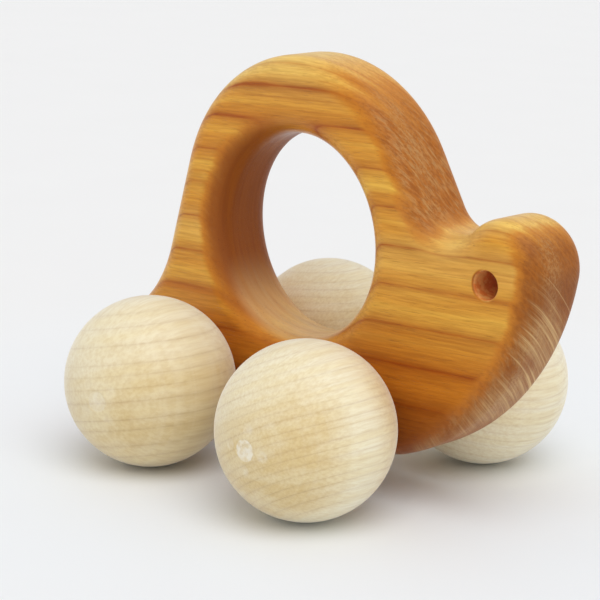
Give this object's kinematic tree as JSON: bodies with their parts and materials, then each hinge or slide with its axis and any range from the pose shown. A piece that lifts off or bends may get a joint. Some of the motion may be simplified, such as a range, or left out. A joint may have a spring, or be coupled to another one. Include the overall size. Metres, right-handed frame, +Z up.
{
  "type": "wooden grasping toy",
  "caption": "Rounded wooden animal with a round grip hole, rolling on plain wooden balls that are glued on dowel axles.",
  "frame": {"origin": "on the ground under the middle of the toy, nose to tail and side to side", "axes": "+X towards the nose, +Y to the toy's left, +Z up"},
  "size_m": [0.1112, 0.0882, 0.0846],
  "materials": {
    "body_wood": "oiled cherry, sanded smooth",
    "ball_wood": "raw maple, sanded smooth",
    "axle_wood": "raw beech dowel"
  },
  "bodies": {
    "animal": {"body": "body_wood"},
    "front_wheels": {"front_axle": "axle_wood", "front_right_ball": "ball_wood", "front_left_ball": "ball_wood"},
    "rear_wheels": {"rear_axle": "axle_wood", "rear_right_ball": "ball_wood", "rear_left_ball": "ball_wood"}
  },
  "joints": [
    {"name": "front_axle_turn", "type": "hinge", "parent": "animal", "child": "front_wheels", "pos_m": [0.01735, 0, 0.0175], "axis": [0, 1, 0], "continuous": true},
    {"name": "rear_axle_turn", "type": "hinge", "parent": "animal", "child": "rear_wheels", "pos_m": [-0.02665, 0, 0.0175], "axis": [0, 1, 0], "continuous": true}
  ]
}
